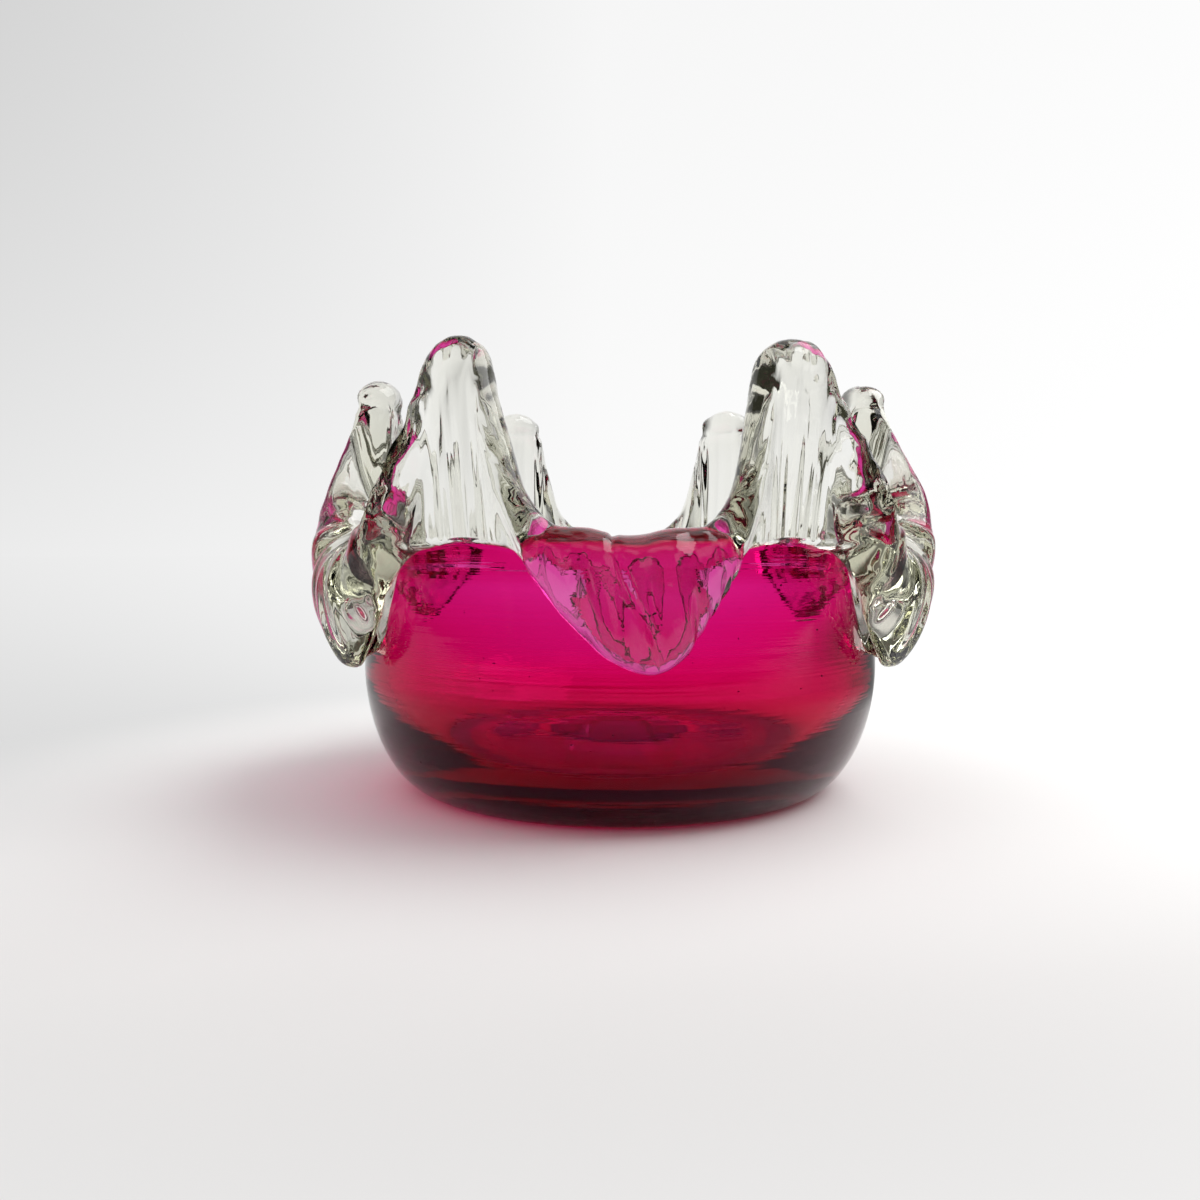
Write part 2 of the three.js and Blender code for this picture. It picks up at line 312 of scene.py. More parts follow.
# Cup
def heel_radius(height, floor, foot_radius, belly_radius):
    below = min(1.0, max(0.0, (BELLY_HEIGHT - height) / (BELLY_HEIGHT - floor)))
    turned = (1.0 - below**HEEL_FULLNESS) ** (1.0 / HEEL_FULLNESS)
    return mix(foot_radius, belly_radius, turned)


def cup_radius(height):
    if height < BELLY_HEIGHT:
        return heel_radius(height, 0.0, FOOT_RADIUS, BELLY_RADIUS)
    above = (height - BELLY_HEIGHT) / (CUP_HEIGHT - BELLY_HEIGHT)
    return BELLY_RADIUS - (BELLY_RADIUS - RIM_RADIUS) * min(1.0, above) ** 2


def cup_wall(height):
    """The wall is thick at the heel, thins upwards, and thickens again into the lip."""
    thinned = mix(LOWER_WALL, UPPER_WALL, smooth(height, *WALL_THINS_BETWEEN))
    return thinned + (LIP_THICKNESS - UPPER_WALL) * smooth(height, *LIP_SWELLS_BETWEEN)


def cup_profile():
    """The cup's outline from the middle of the punt, up the outside, and down the inside."""
    lip = LIP_THICKNESS / 2
    lip_height = CUP_HEIGHT - lip
    ring_inside = FOOT_RADIUS - FOOT_RING_WIDTH
    inner_foot = FOOT_RADIUS - LOWER_WALL
    rows = [(0.0, PUNT_HEIGHT), (PONTIL_RADIUS * 0.5, PUNT_HEIGHT), (PONTIL_RADIUS, PUNT_HEIGHT)]

    def add(count, place):
        rows.extend(place((i + 1) / count) for i in range(count))

    def heel(t):
        height = BELLY_HEIGHT * (1 - math.cos(t * math.pi / 2))
        return cup_radius(height), height

    def wall(t):
        height = mix(BELLY_HEIGHT, lip_height, t)
        return cup_radius(height), height

    def inner_wall(t):
        height = mix(lip_height, BELLY_HEIGHT, t)
        return cup_radius(height) - cup_wall(height), height

    def inner_heel(t):
        height = mix(CUP_FLOOR, BELLY_HEIGHT, 1 - math.sin(t * math.pi / 2))
        inner_belly = BELLY_RADIUS - cup_wall(BELLY_HEIGHT)
        return heel_radius(height, CUP_FLOOR, inner_foot, inner_belly), height

    def floor(t):
        return mix(FLOOR_RISE_RADIUS, 0.0, t), CUP_FLOOR + FLOOR_RISE * (1 - math.cos(t * math.pi)) / 2

    add(14, lambda t: (mix(PONTIL_RADIUS, ring_inside, t), PUNT_HEIGHT * math.cos(t * math.pi / 2) ** 2))
    add(3, lambda t: (mix(ring_inside, FOOT_RADIUS, t), 0.0))
    add(30, heel)
    add(12, wall)
    add(14, lambda t: (
        cup_radius(lip_height) - lip + lip * math.cos(t * math.pi),
        lip_height + lip * math.sin(t * math.pi),
    ))
    add(8, inner_wall)
    add(24, inner_heel)
    add(3, lambda t: (mix(inner_foot, FLOOR_RISE_RADIUS, t), CUP_FLOOR))
    add(18, floor)
    return np.array(rows)


def start_tree(name, takes, inputs, gives):
    """A geometry nodes tree with named inputs: its nodes, and what each input gives."""
    tree = bpy.data.node_groups.new(name, "GeometryNodeTree")
    face = tree.interface
    face.new_socket(takes, in_out="INPUT", socket_type="NodeSocketGeometry")
    for label, kind in inputs.items():
        face.new_socket(label, in_out="INPUT", socket_type="NodeSocket" + kind)
    face.new_socket("Material", in_out="INPUT", socket_type="NodeSocketMaterial")
    face.new_socket(gives, in_out="OUTPUT", socket_type="NodeSocketGeometry")
    nodes = Nodes(tree)
    start = tree.nodes.new("NodeGroupInput")
    return nodes, {socket.name: Value(nodes, socket) for socket in start.outputs if socket.name}


def end_tree(nodes, shape, finish):
    """Ends a tree with plain geometry of one finish."""
    shape = nodes.add("GeometryNodeRealizeInstances", {}, {"Geometry": shape})
    shape = nodes.add("GeometryNodeSetMaterial", {}, {"Geometry": shape, "Material": finish})
    end = nodes.tree.nodes.new("NodeGroupOutput")
    nodes.tree.links.new(shape.socket, end.inputs[0])
    return nodes.tree


def revolve_tree():
    """Geometry nodes that turn a line of points round the Z axis and close its seam and its poles."""
    inputs = {"Outline points": "Int", "Steps round": "Int", "Wobble": "Float", "Seed": "Float"}
    nodes, given = start_tree("revolve", "Outline", inputs, "Shape")
    points = given["Outline points"]
    grid = nodes.add("GeometryNodeMeshGrid", {}, {
        "Size X": points - 1.0,
        "Size Y": 1.0,
        "Vertices X": points,
        "Vertices Y": given["Steps round"] + 1.0,
    })
    place = nodes.add("GeometryNodeInputPosition")
    along = nodes.add("ShaderNodeSeparateXYZ", {}, {0: place})
    index = (along + (points - 1.0) / 2.0).math("ROUND")
    turn = (0.5 - along.of("Y")) * math.tau
    settings = {"data_type": "FLOAT_VECTOR", "domain": "POINT"}
    values = {"Geometry": given["Outline"], "Value": place, "Index": index}
    outline = nodes.add("GeometryNodeSampleIndex", settings, values)
    radius = nodes.add("ShaderNodeSeparateXYZ", {}, {0: outline})
    height = radius.of("Z")
    east, north = turn.math("COSINE"), turn.math("SINE")
    spot = nodes.add("ShaderNodeCombineXYZ", {}, {0: radius * east, 1: radius * north, 2: height})
    values = {"Vector": spot, "W": given["Seed"], "Scale": 55.0, "Detail": 1.0}
    waver = nodes.add("ShaderNodeTexNoise", {"noise_dimensions": "4D"}, values)
    moved = radius * (1.0 + (waver - 0.5) * given["Wobble"])
    shape = nodes.add("GeometryNodeSetPosition", {}, {
        "Geometry": grid,
        "Position": nodes.add("ShaderNodeCombineXYZ", {}, {0: moved * east, 1: moved * north, 2: height}),
    })
    shape = nodes.add("GeometryNodeMergeByDistance", {}, {"Geometry": shape, "Distance": 1e-6})
    shape = nodes.add("GeometryNodeSetShadeSmooth", {}, {"Geometry": shape})
    return end_tree(nodes, shape, given["Material"])


def grown(name, mesh, tree, inputs):
    """The plain mesh that a geometry nodes tree makes of mesh, in an object of that name."""
    start = bpy.data.objects.new(name + "_start", mesh)
    bpy.context.collection.objects.link(start)
    modifier = start.modifiers.new("grow", "NODES")
    modifier.node_group = tree
    for socket in tree.interface.items_tree:
        if socket.in_out == "INPUT" and socket.name in inputs:
            modifier[socket.identifier] = inputs[socket.name]
    depsgraph = bpy.context.evaluated_depsgraph_get()
    result = bpy.data.meshes.new_from_object(start.evaluated_get(depsgraph), depsgraph=depsgraph)
    start.modifiers.remove(modifier)
    bpy.data.objects.remove(start)
    result.name = name
    made = bpy.data.objects.new(name, result)
    bpy.context.collection.objects.link(made)
    return made


def line_mesh(name, rows):
    """A mesh of loose points in the XZ plane, in metres."""
    mesh = bpy.data.meshes.new(name)
    mesh.from_pydata([(radius * MM, 0.0, height * MM) for radius, height in rows], [], [])
    return mesh


def lift_rim(cup):
    """Draws the rim up a little under each prong, where the clear glass pulled it."""
    for vertex in cup.data.vertices:
        x, y, height = vertex.co / MM
        azimuth = math.degrees(math.atan2(x, -y))
        nearest = min(abs((azimuth - prong[0] + 180) % 360 - 180) for prong in PRONGS)
        near = bell(nearest, 0.0, RIM_LIFT_SPREAD) * smooth(height, *RIM_LIFTED_BETWEEN)
        vertex.co.z += RIM_LIFT * MM * near


def make_cup(finish):
    outline = cup_profile()
    made = grown("cup_of_cranberry_glass", line_mesh("cup_outline", outline), revolve_tree(), {
        "Outline points": len(outline),
        "Steps round": CUP_STEPS_ROUND,
        "Wobble": CUP_WOBBLE / BELLY_RADIUS * 2,
        "Seed": CUP_WOBBLE_SEED,
        "Material": finish,
    })
    lift_rim(made)
    return made


def seeds_tree():
    """Geometry nodes that scatter small drawn out specks inside a wall."""
    inputs = {"Specks per area": "Float", "Depth": "Float", "Speck radius": "Float", "Seed": "Int"}
    nodes, given = start_tree("seeds", "Wall", inputs, "Specks")

    points = nodes.add("GeometryNodeDistributePointsOnFaces", {"distribute_method": "RANDOM"}, {
        "Mesh": given["Wall"],
        "Density": given["Specks per area"],
        "Seed": given["Seed"],
    })
    inwards = nodes.add("ShaderNodeVectorMath", {"operation": "SCALE"}, {
        0: points.of("Normal"),
        "Scale": given["Depth"] * -1.0,
    })
    points = nodes.add("GeometryNodeSetPosition", {}, {"Geometry": points, "Offset": inwards})
    speck = nodes.add("GeometryNodeMeshIcoSphere", {}, {"Radius": given["Speck radius"], "Subdivisions": 2})
    size = nodes.add("FunctionNodeRandomValue", {"data_type": "FLOAT_VECTOR"}, {
        "Min": (0.6, 0.6, 0.5),
        "Max": (2.2, 1.4, 1.2),
        "Seed": given["Seed"],
    })
    values = {"Points": points, "Instance": speck, "Scale": size}
    shape = nodes.add("GeometryNodeInstanceOnPoints", {}, values)
    return end_tree(nodes, shape, given["Material"])


def make_seeds(cup, finish):
    return grown("seeds_in_cranberry_glass", cup.data.copy(), seeds_tree(), {
        "Specks per area": SEEDS_PER_AREA,
        "Depth": SEED_DEPTH * MM,
        "Speck radius": SEED_RADIUS * MM,
        "Seed": SEED_SCATTER,
        "Material": finish,
    })


# Crown
def petal_edges(petal, prong, half_span):
    """Azimuth from the lobe's middle, radius and height above the rim, at each rank of both edges."""
    _, lower, _, _, edge = petal
    _, half_width, taller, leans_in = prong
    prong_top = PRONG_RISE + taller
    head = PRONG_RADIUS - leans_in
    wide = math.degrees(half_width / PRONG_RADIUS)
    seat = RIM_RADIUS - FUSED_DEPTH
    half = PETAL_THICKNESS / 2
    drop = PETAL_DROP + lower - edge / 2
    tip = cup_radius(CUP_HEIGHT - drop) + PETAL_EDGE_STANDOFF * edge
    reach = PETAL_EDGE_REACH * edge / PETAL_THICKNESS
    web = RIM_RADIUS - LIP_THICKNESS / 2
    upper_edge = [
        (0.0, seat, LIP_RISE - half),
        (0.2 * half_span, seat, LIP_RISE - half + 0.5),
        (0.37 * half_span, seat + 0.3, LIP_RISE - half + 1.5),
        (0.484 * half_span, seat + 0.8, 0.11 * prong_top),
        (0.6 * half_span, head + 1.4, 0.38 * prong_top),
        (half_span - wide, head + 0.2, 0.76 * prong_top),
        (half_span - 0.72 * wide, head, 0.93 * prong_top),
        (half_span, head, prong_top),
    ]
    lower_edge = [
        (0.0, tip, -drop),
        (0.17 * half_span, tip + 0.2, -0.88 * drop),
        (0.33 * half_span, RIM_RADIUS + 0.96 * reach, -0.61 * drop),
        (0.46 * half_span, RIM_RADIUS + reach, -0.34 * drop),
        (0.6 * half_span, RIM_RADIUS + 0.45 * reach, -FUSED_DEPTH - 1.1),
        (0.72 * half_span, web + 1.1, -FUSED_DEPTH - 0.35),
        (0.84 * half_span, web + 0.2, -FUSED_DEPTH),
        (half_span, web, -FUSED_DEPTH),
    ]
    return np.array(upper_edge), np.array(lower_edge)


def through(rows, half_span):
    """A smooth curve through the rows, mirrored past both of its ends so that it arrives level."""
    before = rows[1] * [-1, 1, 1]
    after = rows[-2] * [-1, 1, 1] + [2 * half_span, 0, 0]
    points = np.vstack([before, rows, after])

    def at(rank):
        rank = np.clip(rank, 0, LAST_RANK)
        i = np.minimum(np.floor(rank).astype(int), LAST_RANK - 1)
        t = (rank - i)[..., None]
        a, b, c, d = (points[i + k] for k in range(4))
        return b + 0.5 * t * (c - a + t * (2 * a - 5 * b + 4 * c - d + t * (3 * b - a - 3 * c + d)))

    return at


def thickness(rank, share, edge):
    """How thick the glass is, from edge at a lobe's lower border up to the fold and the prong."""
    low = mix(edge, WEB_THICKNESS, smooth(rank, 3, 5))
    fold = mix(PETAL_THICKNESS, FOLD_THICKNESS, smooth(rank, 0, 4))
    high = mix(fold, PRONG_THICKNESS, smooth(rank, 4, 6))
    return mix(low, high, share ** mix(1.6, 3.5, smooth(rank, 3.5, 7)))


def relief(rank, share, flank):
    """What stands proud of the outer face: the ribs of the lobe, and the ridge beside it."""
    ribbed = (1 - smooth(rank, (RIBS - 2) / 2, (RIBS + 1) / 2)) * np.sin(np.pi * share) ** 0.7
    rib = RIB_HEIGHT * ribbed * (0.5 + 0.5 * np.cos(2 * np.pi * rank))
    ridge = (RIDGE_HEIGHT + flank) * smooth(rank, 1.2, 4.2) * (1 - smooth(rank, 4.4, 6.0))
    return rib + ridge * (0.5 + 0.5 * smooth(share, 0.0, 0.6) - 0.65 * smooth(share, 0.55, 1.0))


def middle_surface(petal, prong, half_span, side):
    """The middle of the glass of half a petal, by rank and by the place across it from -1 to 1."""
    lean, _, swell, _, _ = petal
    face_squareness, shift, last_bowed = FLAT_FACE if swell < SHALLOW_SWELL else BOWED_FACE
    upper_rows, lower_rows = petal_edges(petal, prong, half_span)
    upper, lower = through(upper_rows, half_span), through(lower_rows, half_span)
    bow = RIM_RADIUS + PETAL_REACH + swell - RIB_HEIGHT - PETAL_THICKNESS / 2
    start = (upper_rows[0, 1] + lower_rows[0, 1]) / 2

    def at(rank, across):
        rank, across = np.broadcast_arrays(float(rank), across)
        mirrored = np.where(rank < 0, -1.0, 1.0)
        past = np.maximum(np.abs(rank) - LAST_RANK, 0)
        rank = np.minimum(np.abs(rank), LAST_RANK) - past
        low, high = lower(rank), upper(rank)
        fade = np.cos(np.minimum(1, rank / last_bowed) * np.pi / 2) ** 2
        squareness = mix(face_squareness, 2, smooth(rank, 0.5, 3))
        roundness = mix(1 / face_squareness, 1, smooth(rank, 0.5, 3))
        shape = np.maximum(0, 1 - np.abs(across) ** squareness) ** roundness
        shape = shape * (1 + shift * across) / (1 + shift / 2)
        share = (across + 1) / 2
        turn = mix(low[..., 0], high[..., 0], share)
        turn = np.where(past > 0, 2 * half_span - turn, turn) * mirrored
        turn = np.radians(side * turn + lean * (1 - rank / LAST_RANK) ** 2 * (1 - share))
        radius = mix(low[..., 1], high[..., 1], share) + mix(LEAST_BOW, bow - start, fade) * shape
        height = CUP_HEIGHT + mix(low[..., 2], high[..., 2], share)
        return np.stack([radius * np.sin(turn), -radius * np.cos(turn), height], -1)

    return at


def unit(vectors):
    return vectors / np.linalg.norm(vectors, axis=-1, keepdims=True)


def section(surface, rank, side, petal):
    """One closed loop round the glass, up its outer face and down its inner one, and where it lies."""
    _, _, swell, flank, edge = petal
    fine = -np.cos(np.pi * np.linspace(0, 1, FINE_STEPS_ACROSS + 1))
    places = surface(rank, fine)
    lengths = np.concatenate([[0], np.cumsum(np.linalg.norm(np.diff(places, axis=0), axis=1))])
    whole = lengths[-1]
    slanting = min(1.0, max(0.0, (rank - SLANT_FROM_RANK) / (LAST_RANK - SLANT_FROM_RANK)))
    slant = 1 + SLANT_ROUNDING * math.sin(math.pi * slanting) ** 2
    foot = mix(1, WEB_FOOT_ROUNDING / (WEB_THICKNESS / 2), smooth(rank, 3.5, 5))
    low_reach = min(0.4 * whole, foot * thickness(rank, 0, edge) / 2)
    high_reach = min(0.6 * whole, slant * thickness(rank, 1, edge) / 2)
    rounding = 1 - np.cos(np.linspace(0, np.pi / 2, STEPS_ROUND_AN_EDGE + 1))
    distance = np.concatenate([
        low_reach * rounding,
        np.linspace(low_reach, whole - high_reach, STEPS_BETWEEN_EDGES + 1)[1:-1],
        (whole - high_reach * rounding)[::-1],
    ])
    across = np.interp(distance, lengths, fine)
    share = (across + 1) / 2
    near_low = np.minimum(1, distance / low_reach)
    near_high = np.minimum(1, (whole - distance) / high_reach)
    round_edge = np.sqrt(np.maximum(0, 1 - (1 - near_low) ** 2) * np.maximum(0, 1 - (1 - near_high) ** 2))
    half = thickness(rank, share, edge) / 2 * round_edge

    middle = surface(rank, across)
    upwards = surface(rank, np.minimum(across + 0.01, 1)) - surface(rank, np.maximum(across - 0.01, -1))
    sideways = surface(rank + 0.02, across) - surface(rank - 0.02, across)
    square = unit(np.cross(side * sideways, upwards))
    outwards = unit(middle * [1, 1, 0])
    normal = unit(mix(square, outwards, smooth(rank, 2.5, 4.5)))
    outer = middle + normal * (half + relief(rank, share, flank) * round_edge)[:, None]
    wall = np.array([cup_radius(height) for height in middle[:, 2]]) - FUSED_DEPTH
    seated = outwards * wall[:, None] + middle * [0, 0, 1]
    seated = mix(middle, seated, near_low[:, None])
    shell = middle - normal * half[:, None]
    hollow = HOLLOW_SHARE * (swell >= SHALLOW_SWELL) * np.sin(np.pi * share) ** 2
    inner = mix(seated, shell, mix(hollow, 1, smooth(rank, 2.5, 4))[:, None])
    loop = np.vstack([outer, inner[-2:0:-1]])
    loop_share = np.concatenate([share, share[-2:0:-1]])
    face = np.concatenate([np.ones(len(share)), -np.ones(len(share) - 2)])
    return loop, loop_share, face


def crown_grid():
    """The crown as a closed grid: loops of the section, one after the other round the rim."""
    ranks = np.linspace(0, LAST_RANK, STEPS_PER_HALF_PETAL + 1)
    points, signed_ranks, shares, faces, petals = [], [], [], [], []
    for number, petal in enumerate(PETALS):
        left, right = PRONGS[number], PRONGS[(number + 1) % len(PRONGS)]
        half_span = (right[0] - left[0]) % 360 / 2
        middle = math.radians(left[0] + half_span)
        turn = np.array([
            [math.cos(middle), -math.sin(middle), 0],
            [math.sin(middle), math.cos(middle), 0],
            [0, 0, 1],
        ])
        for side, prong, own_ranks in ((-1, left, ranks[:0:-1]), (1, right, ranks[:-1])):
            surface = middle_surface(petal, prong, half_span, side)
            for rank in own_ranks:
                loop, share, face = section(surface, rank, side, petal)
                points.append(loop @ turn.T)
                signed_ranks.append(np.full(len(loop), side * rank))
                shares.append(share)
                faces.append(face)
                petals.append(np.full(len(loop), number))
    return [np.array(rows) for rows in (points, signed_ranks, shares, faces, petals)]


def polish(points, share_moved):
    """Evens the grid out where share_moved is above 0, as the flame does."""
    for _ in range(POLISH_PASSES):
        along = (np.roll(points, 1, 0) + np.roll(points, -1, 0)) / 2
        round_it = (np.roll(points, 1, 1) + np.roll(points, -1, 1)) / 2
        points = points + share_moved[..., None] * (0.35 * (along - points) + 0.15 * (round_it - points))
    return points


def keep_within(points):
    """Eases what swells out furthest to either side back inside the box of the solids."""
    low, high = (np.array(corner) / MM for corner in CAD_BOX)
    for sign, limit in ((1, high[0]), (-1, -low[0])):
        past = np.maximum(0, sign * points[..., 0] - (limit - EASED_DEPTH))
        points[..., 0] -= sign * (past - 0.9 * EASED_DEPTH * np.tanh(past / EASED_DEPTH))
    return points


def grid_normals(points):
    along = np.roll(points, -1, 0) - np.roll(points, 1, 0)
    round_it = np.roll(points, -1, 1) - np.roll(points, 1, 1)
    return unit(np.cross(along, round_it))


def drawn_lines(rank, share, face, petal):
    """Lines drawn out along the pull, which go on round the rim and are deepest on the prongs."""
    ranks_round = 2 * LAST_RANK * len(PETALS)
    turn = math.tau * (rank + 2 * LAST_RANK * petal) / ranks_round
    spread = LINES_PER_RANK * ranks_round / math.tau
    pull = np.stack([spread * np.cos(turn), spread * np.sin(turn), share * 0.8 + face * 4.0], -1)
    return LINE_DEPTH * speckle(pull, 2) * mix(0.25, 1.6, smooth(np.abs(rank), 4.6, 6.0))


def tool_bites(rank, share, petal):
    """Short ribs across the slanting edges of each lobe, where the tool bit into it."""
    reach = np.abs(rank)
    edge = bell(share, 0.2, 0.17) * smooth(reach, 0.7, 1.4) * (1 - smooth(reach, 3.0, 3.8))
    left, right = FRONT_BITE_DEPTHS
    depth = np.where(petal == FRONT, np.where(rank > 0, right, left), BITE_DEPTH)
    return depth * edge * np.sin(2 * np.pi * reach / BITE_RANKS + 1.7 * petal)


def fern_folds(rank, share, petal):
    """Wavy folds like a fern's on the flanks that rise to the prongs, deepest next to the front lobe."""
    reach = np.abs(rank)
    flank = smooth(reach, 2.8, 3.8) * (1 - smooth(reach, 4.9, 5.6)) * smooth(share, 0.2, 0.5)
    flank = flank * np.where(petal == FRONT, 0.25, 1.0)
    sway = speckle(np.stack([rank, share * 3, petal * 7.0], -1), 4)
    beside_front = ((petal == LEFT_FRONT) & (rank > 0)) | ((petal == RIGHT_FRONT) & (rank < 0))
    depth = np.where(beside_front, FRONT_FOLD_DEPTH, FOLD_DEPTH)
    return depth * flank * np.sin(2 * np.pi * (share * 4.0 + reach * 1.3 + sway * 0.5))


def front_vein(rank, share, petal):
    """A vein sunk in the front lobe, which runs down it and curves to its tip."""
    middle = mix(*VEIN_RANKS, smooth(share, 0.0, 1.0))
    return -VEIN_DEPTH * (petal == FRONT) * bell(rank, middle, 0.09) * smooth(share, 0.0, 0.1)


def pinched_heads(points, reach):
    """On the side and back prongs' heads, a crease where the pincers let go, and a swelling above it."""
    azimuth = np.degrees(np.arctan2(points[..., 0], -points[..., 1]))
    height = points[..., 2]
    head = (reach > 5) & (np.abs(azimuth) > 60)
    crease = CREASE_DEPTH * head * bell(height, CREASE_HEIGHT, 0.9)
    return SWELLING_DEPTH * head * bell(height, SWELLING_HEIGHT, 1.3) - crease


def pincer_bite(points):
    """The crumpled bite of the pincers on the head of the right front prong."""
    azimuth = math.radians(PRONGS[RIGHT_FRONT][0] + PINCER_TURN)
    radius = PRONG_RADIUS + PRONG_THICKNESS / 2
    place = np.array([radius * math.sin(azimuth), -radius * math.cos(azimuth), PINCER_HEIGHT])
    near = bell(np.linalg.norm(points - place, axis=-1), 0.0, PINCER_WIDTH)
    return near * (CRUMPLE_DEPTH * speckle(points / CRUMPLE_LENGTH, 5) - PINCER_DENT)


def hand_marks(points, rank, share, face, petal):
    """How far the hand worked glass stands proud of the smooth crown at each point, in millimetres."""
    reach = np.abs(rank)
    outside = face > 0
    marks = UNEVENNESS * speckle(points / UNEVEN_LENGTH, 1)
    marks += drawn_lines(rank, share, face, petal)
    marks += tool_bites(rank, share, petal)
    marks += fern_folds(rank, share, petal) * outside
    marks += front_vein(rank, share, petal) * outside
    marks += pinched_heads(points, reach)
    marks += pincer_bite(points) * outside
    # Nothing marks the inner face of a lobe, which lies by the cup.
    return marks * np.where(outside, 1.0, smooth(reach, 3.2, 4.5))


def make_crown(finish):
    points, rank, share, face, petal = crown_grid()
    reach = np.abs(rank)
    points = polish(points, smooth(reach, 1.2, 2.2) * (1 - smooth(reach, 4.8, 6.0)))
    points = points + grid_normals(points) * hand_marks(points, rank, share, face, petal)[..., None]
    points = keep_within(points)
    loops, size = points.shape[:2]
    index = np.arange(loops * size).reshape(loops, size)
    next_loop = np.roll(index, -1, 0)
    corners = (index, next_loop, np.roll(next_loop, -1, 1), np.roll(index, -1, 1))
    faces = np.stack(corners, -1).reshape(-1, 4)
    mesh = bpy.data.meshes.new("crown_of_clear_glass")
    mesh.from_pydata((points.reshape(-1, 3) * MM).tolist(), [], faces.tolist())
    mesh.shade_smooth()
    mesh.materials.append(finish)
    made = bpy.data.objects.new("crown_of_clear_glass", mesh)
    bpy.context.collection.objects.link(made)
    return made


# Materials
def clear_glass(nodes):
    place = nodes.add("ShaderNodeTexCoord", {}, {}, "Object")
    drawn = nodes.add("ShaderNodeMapping", {}, {"Vector": place, "Scale": (800.0, 800.0, 40.0)})
    streaks = nodes.add("ShaderNodeTexNoise", {}, {"Vector": drawn, "Scale": 1.0, "Detail": 1.0})
    bump = nodes.add("ShaderNodeBump", {}, {"Height": streaks, "Strength": 0.15, "Distance": 0.0003})
    glass = nodes.add("ShaderNodeBsdfPrincipled", {}, {
        "Base Color": (1.0, 1.0, 1.0, 1.0),
        "Roughness": 0.01,
        "IOR": GLASS_IOR,
        "Specular IOR Level": CLEAR_GLOSS_LEVEL,
        "Transmission Weight": 1.0,
        "Normal": bump,
    })
    depth = nodes.add("ShaderNodeVolumeAbsorption", {}, {"Color": CLEAR_TINT, "Density": CLEAR_DENSITY})
    return {"Surface": glass, "Volume": depth}


def ruby_glass(nodes):
    place = nodes.add("ShaderNodeTexCoord", {}, {}, "Object")
    lying = nodes.add("ShaderNodeMapping", {}, {"Vector": place, "Scale": (14.0, 14.0, 620.0)})
    drag = nodes.add("ShaderNodeTexNoise", {}, {"Vector": lying, "Scale": 1.0, "Detail": 3.0})
    slow = nodes.add("ShaderNodeTexNoise", {}, {"Vector": place, "Scale": 60.0, "Detail": 1.0})
    height = drag * 0.5 + slow * 0.5
    bump = nodes.add("ShaderNodeBump", {}, {"Height": height, "Strength": 0.3, "Distance": 0.0004})

    # The pontil mark is ground, and the rest is polished by the fire.
    level = nodes.add("ShaderNodeSeparateXYZ", {}, {0: place})
    across = nodes.add("ShaderNodeVectorMath", {"operation": "MULTIPLY"}, {0: place, 1: (1.0, 1.0, 0.0)})
    across = nodes.add("ShaderNodeVectorMath", {"operation": "LENGTH"}, {0: across}, "Value")
    edge = PONTIL_RADIUS * MM
    above = level.of("Z").rise((PUNT_HEIGHT + 0.3) * MM, (PUNT_HEIGHT + 0.5) * MM)
    ground = (1.0 - across.rise(edge * 0.93, edge)) * (1.0 - above)
    glass = nodes.add("ShaderNodeBsdfPrincipled", {}, {
        "Base Color": (1.0, 1.0, 1.0, 1.0),
        "Roughness": ground * 0.4 + 0.012,
        "IOR": GLASS_IOR,
        "Specular IOR Level": RUBY_GLOSS_LEVEL,
        "Specular Tint": RUBY_GLOSS,
        "Transmission Weight": 1.0,
        "Normal": bump,
    })
    depth = nodes.add("ShaderNodeVolumeAbsorption", {}, {"Color": RUBY_TINT, "Density": RUBY_DENSITY})
    return {"Surface": glass, "Volume": depth}


def seed_ash(nodes):
    place = nodes.add("ShaderNodeTexCoord", {}, {}, "Object")
    grain = nodes.add("ShaderNodeTexNoise", {}, {"Vector": place, "Scale": 900.0, "Detail": 1.0})
    colour = nodes.add("ShaderNodeCombineColor", {}, {0: grain * 0.05, 1: grain * 0.015, 2: grain * 0.02})
    return {"Surface": nodes.add("ShaderNodeBsdfPrincipled", {}, {"Base Color": colour, "Roughness": 0.45})}


# Scene round the bowl
def backdrop(east, up, mirrored):
    """How white the sweep is in a direction: painted shade dims it upwards and to the upper left, and beside
    it gloss shows a room.
    """
    west = east * -1.0
    # Painted light and shade on the backdrop: brighter to the east, dimmer upwards, darkest to the upper
    # left.
    upper_left_shade = west.math("MAXIMUM", 0.0) * (up * 0.7 + 0.16)
    white = 0.97 + east * 0.1 - up.math("MAXIMUM", 0.0) * 0.1 - upper_left_shade
    beside = east.rise(0.4, 0.75) * RIGHT_DARK + west.rise(0.5, 0.85) * LEFT_DARK
    return white * (1.0 - beside * mirrored)


def seen_rays(nodes):
    """1 for rays from the camera, also through glass or off it, and 0 for the light on a surface."""
    path = nodes.add("ShaderNodeLightPath")
    seen = path.math("MAXIMUM", path.of("Is Glossy Ray"))
    return seen.math("MAXIMUM", path.of("Is Transmission Ray"))


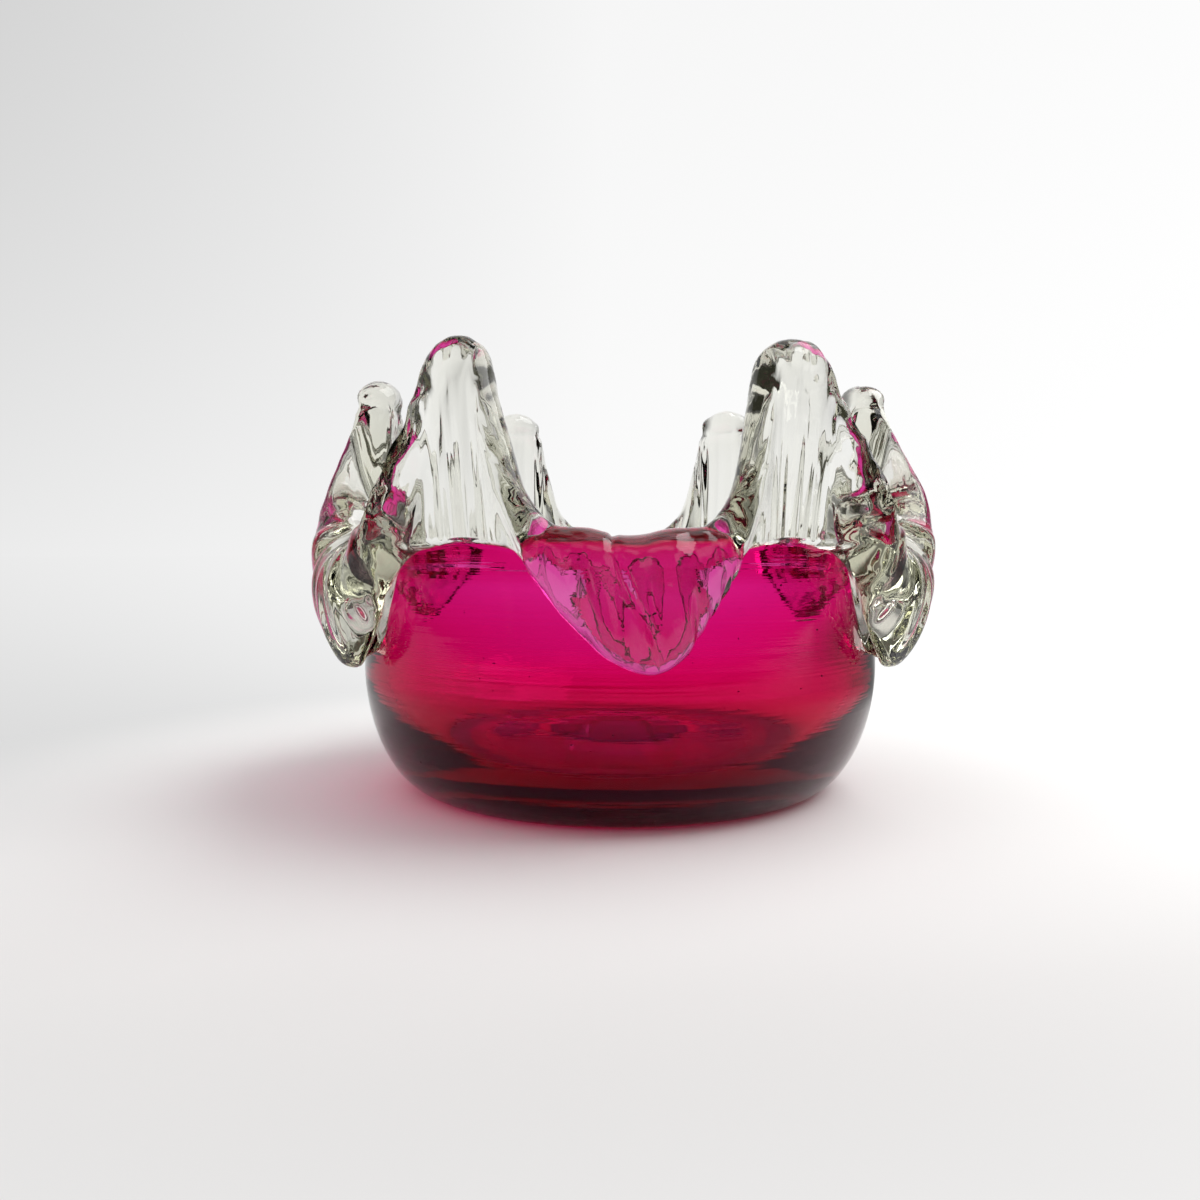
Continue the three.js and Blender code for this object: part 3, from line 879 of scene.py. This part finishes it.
def sweep_paper(nodes):
    """Paper that takes the bowl's shadow near it, and is as white as the backdrop further off."""
    place = nodes.add("ShaderNodeTexCoord", {}, {}, "Object")
    east = nodes.add("ShaderNodeSeparateXYZ", {}, {0: place})
    far = nodes.add("ShaderNodeVectorMath", {"operation": "LENGTH"}, {0: place}, "Value")
    north = east.of("Y")
    direct = nodes.add("ShaderNodeLightPath")

    # In front of the bowl the paper glows for the camera only. Glass shows a dimmer paper there, and beyond
    # it painted dark paper, a painted dark reflection that the camera never sees.
    lit = north.rise(-0.09, -0.02).math("MAXIMUM", direct * far.rise(0.06, 0.16))
    glow = far.rise(0.05, 0.12) * lit * seen_rays(nodes)
    white = backdrop(east / (far + 0.001), east.of("Z"), direct.of("Is Glossy Ray")) * glow
    # Painted dark reflection: further in front, the paper is 85 % darker for every ray but the camera's.
    painted_dark_for_glass = (1.0 - north.rise(-0.2, -0.12)) * (1.0 - direct)
    # Painted shade: in front of the bowl the paper is up to 30 % darker towards the camera, for every ray.
    near = (1.0 - (1.0 - north.rise(-0.12, -0.03)) * 0.3) * (1.0 - painted_dark_for_glass * 0.85)
    base = near * (1.0 - glow)
    red, green, blue = (base * part for part in PAPER)
    return {"Surface": nodes.add("ShaderNodeBsdfPrincipled", {}, {
        "Base Color": nodes.add("ShaderNodeCombineColor", {}, {0: red, 1: green, 2: blue}),
        "Emission Color": nodes.add("ShaderNodeCombineColor", {}, {0: white, 1: white, 2: white}),
        "Emission Strength": 1.0,
        "Roughness": 1.0,
        "Specular IOR Level": 0.0,
    })}


def make_floor():
    mesh = bpy.data.meshes.new("sweep")
    turns = [math.tau * i / SWEEP_STEPS for i in range(SWEEP_STEPS)]
    rim = [(SWEEP_RADIUS * math.cos(turn), SWEEP_RADIUS * math.sin(turn), 0.0) for turn in turns]
    mesh.from_pydata(rim, [], [list(range(SWEEP_STEPS))])
    mesh.materials.append(material("sweep_paper", sweep_paper))
    floor = bpy.data.objects.new("sweep", mesh)
    bpy.context.collection.objects.link(floor)


def studio(nodes):
    """White all round for the light, with a dark room beside and behind the camera that the glass shows."""
    way = nodes.add("ShaderNodeTexCoord", {}, {}, "Generated")
    east = nodes.add("ShaderNodeSeparateXYZ", {}, {0: way})
    path = nodes.add("ShaderNodeLightPath")
    white = backdrop(east, east.of("Z"), path.of("Is Glossy Ray"))
    room = nodes.add("ShaderNodeTexNoise", {}, {"Vector": way, "Scale": 2.4, "Detail": 1.0})
    north = east.of("Y")
    west, south = east * -1.0, north * -1.0
    room = room + west.rise(0.3, 0.9) * 0.12 + east.rise(0.45, 0.8) * 0.22 + south.rise(0.6, 0.9) * 0.12
    dark = room.rise(ROOM_FROM, ROOM_FROM + 0.08) * (1.0 - north.rise(0.45, 0.75))
    shown = white * (1.0 - dark * (1.0 - path) * (1.0 - ROOM_LEVEL))
    seen = seen_rays(nodes)
    level = shown * seen + (1.0 - seen) * DAYLIGHT * (0.35 + 0.65 * north.rise(-0.9, 0.2))
    tint = 1.0 - dark * seen * (1.0 - path) * 0.25
    colour = nodes.add("ShaderNodeCombineColor", {}, {0: level, 1: level, 2: level * tint})
    return {"Surface": nodes.add("ShaderNodeBackground", {}, {"Color": colour, "Strength": 1.0})}


def make_world():
    world = bpy.data.worlds.new("studio")
    bpy.context.scene.world = world
    world.use_nodes = True
    fill(world.node_tree, "ShaderNodeOutputWorld", studio)


def lamp(name, place, size, power):
    data = bpy.data.lights.new(name, "AREA")
    data.shape = "RECTANGLE"
    data.size, data.size_y = size
    data.energy = power
    made = bpy.data.objects.new(name, data)
    made.location = place
    aim = Vector((0.0, 0.0, 0.02)) - made.location
    made.rotation_euler = aim.to_track_quat("-Z", "Y").to_euler()
    bpy.context.collection.objects.link(made)


def make_camera():
    data = bpy.data.cameras.new("camera")
    data.sensor_width = SENSOR
    data.lens = SENSOR * LENS_PIXELS / FRAME_SIZE
    data.clip_start = 0.005
    made = bpy.data.objects.new("camera", data)
    made.location = [value * MM for value in CAMERA_PLACE]
    pitch = math.atan((FRAME_SIZE / 2 - HORIZON_ROW) / LENS_PIXELS)
    made.rotation_euler = (math.pi / 2 - pitch, 0.0, 0.0)
    bpy.context.collection.objects.link(made)
    bpy.context.scene.camera = made


make_camera()
make_floor()
make_world()
lamp("window", WINDOW_PLACE, WINDOW_SIZE, WINDOW_POWER)

cup = make_cup(material("cranberry_glass", ruby_glass))
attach(cup, "root")
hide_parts("ruby_cup")

seeds = make_seeds(cup, material("ash_in_the_glass", seed_ash))
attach(seeds, "root")

crown = make_crown(material("clear_crown_glass", clear_glass))
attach(crown, "root")
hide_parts(*PETAL_NODES)

bpy.context.scene.view_settings.view_transform = "Standard"
